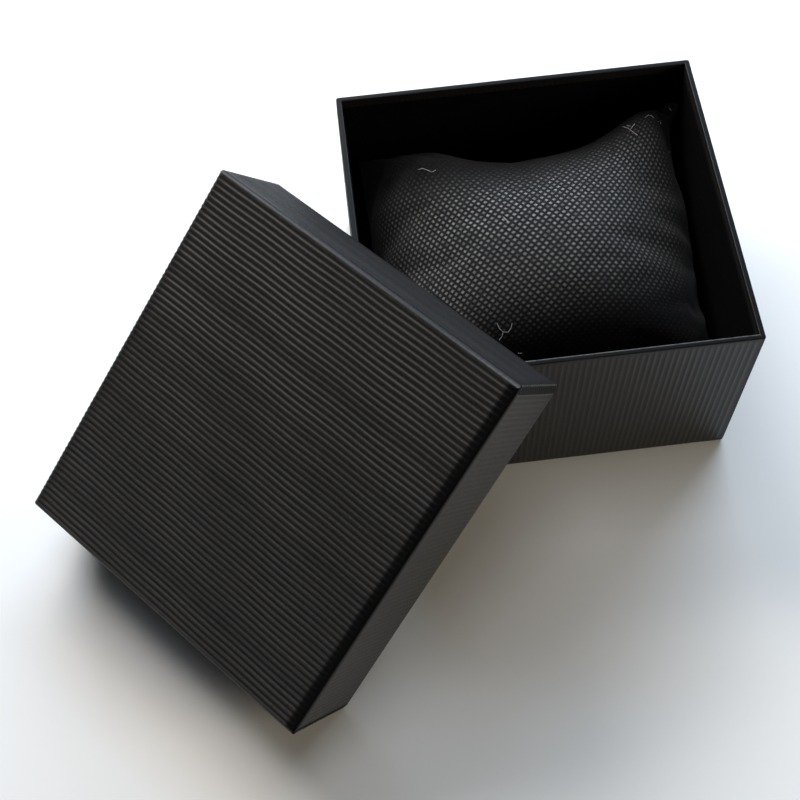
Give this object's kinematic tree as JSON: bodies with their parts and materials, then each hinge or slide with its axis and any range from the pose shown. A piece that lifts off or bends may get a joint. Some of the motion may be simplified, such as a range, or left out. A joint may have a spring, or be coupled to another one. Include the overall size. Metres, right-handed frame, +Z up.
{
  "type": "cardboard watch box",
  "caption": "Small cardboard watch box with a deep tray, a lift-off lid leaning on its corner, ribbed black paper wrap and a padded pillow.",
  "frame": {"origin": "centre of the tray's underside, on the surface that the box stands on", "axes": "+Z up out of the tray's mouth, +X to the right along the tray's front wall, +Y to its back wall; the lid leans over the front left corner, towards -X and -Y"},
  "size_m": [0.1577, 0.1364, 0.068],
  "materials": {
    "greyboard": "matt pressed board",
    "kraft_tape": "matt gummed paper",
    "ribbed_paper": "fine ribs with a low satin sheen",
    "lining_paper": "matt smooth",
    "non_woven": "matt fibres with small shiny bond dots",
    "fibre_filling": "loose matt fibre"
  },
  "bodies": {
    "tray": {"tray_board": "greyboard", "tray_corner_stay_1": "kraft_tape", "tray_corner_stay_2": "kraft_tape", "tray_corner_stay_3": "kraft_tape", "tray_corner_stay_4": "kraft_tape", "tray_wrap": "ribbed_paper", "tray_wall_lining": "lining_paper", "tray_floor_lining": "lining_paper"},
    "pillow": {"pillow_cover_top": "non_woven", "pillow_cover_bottom": "non_woven", "pillow_filling": "fibre_filling"},
    "lid": {"lid_board": "greyboard", "lid_corner_stay_1": "kraft_tape", "lid_corner_stay_2": "kraft_tape", "lid_corner_stay_3": "kraft_tape", "lid_corner_stay_4": "kraft_tape", "lid_wrap": "ribbed_paper", "lid_wall_lining": "lining_paper", "lid_top_lining": "lining_paper"}
  },
  "joints": [
    {"name": "pillow_lift", "type": "slide", "parent": "tray", "child": "pillow", "axis": [0, 0, 1], "range_m": [0, 0.06]},
    {"name": "lid_lift", "type": "slide", "parent": "pillow", "child": "lid", "axis": [-0.4276, -0.3913, 0.8149], "range_m": [0, 0.06]}
  ]
}
